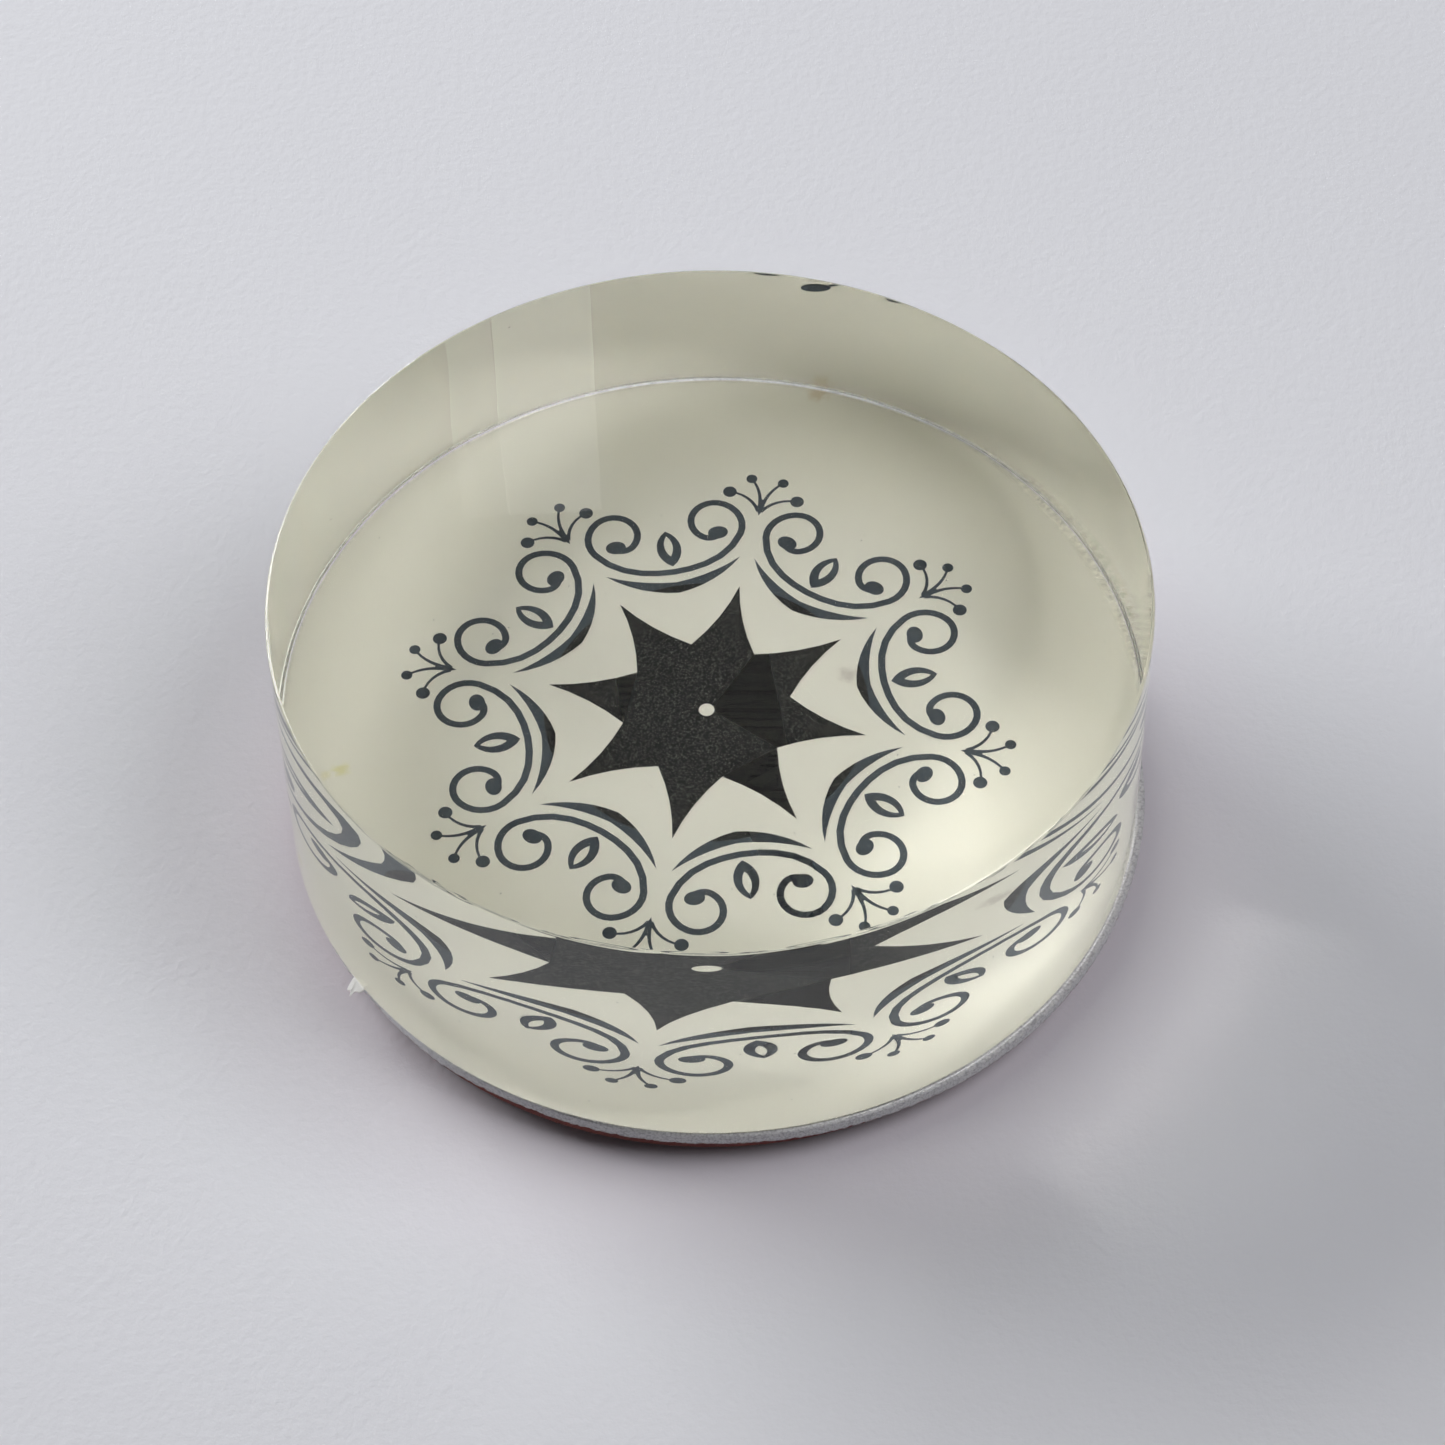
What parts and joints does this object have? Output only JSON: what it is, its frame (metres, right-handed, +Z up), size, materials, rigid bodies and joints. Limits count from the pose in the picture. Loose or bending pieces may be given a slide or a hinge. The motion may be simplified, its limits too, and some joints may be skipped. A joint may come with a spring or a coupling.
{
  "type": "rubber stamp",
  "caption": "Round rubber stamp: a clear acrylic block over an index label, a thin foam cushion and a rubber die with a star-and-scroll relief; the foam gives when pressed.",
  "frame": {"origin": "on the block's axis in the plane of the die's printing face, which is what the stamp stands on", "axes": "+Z up through the block towards the hand, +X to the user's right, +Y away from the user"},
  "size_m": [0.0555, 0.0552, 0.0222],
  "materials": {
    "acrylic": "clear cast acrylic, faintly yellowed, polished faces",
    "adhesive": "clear pressure-sensitive film",
    "ink": "fused toner, near black",
    "label": "cream coated label stock",
    "foam": "light grey closed-cell foam, knife-cut edge",
    "rubber": "red-brown vulcanised rubber, dull"
  },
  "bodies": {
    "die_pack": {"rubber_die": "rubber", "die_adhesive": "adhesive", "foam_cushion": "foam"},
    "block_pack": {"acrylic_block": "acrylic", "block_adhesive": "adhesive", "label_print": "ink", "index_label": "label", "label_adhesive": "adhesive"}
  },
  "joints": [
    {"name": "cushion_press", "type": "slide", "parent": "die_pack", "child": "block_pack", "axis": [0, 0, -1], "range_m": [0, 0.0003], "stiffness_N_per_m": 5000, "springref_m": -0.0003, "deforming": ["foam_cushion"]}
  ]
}
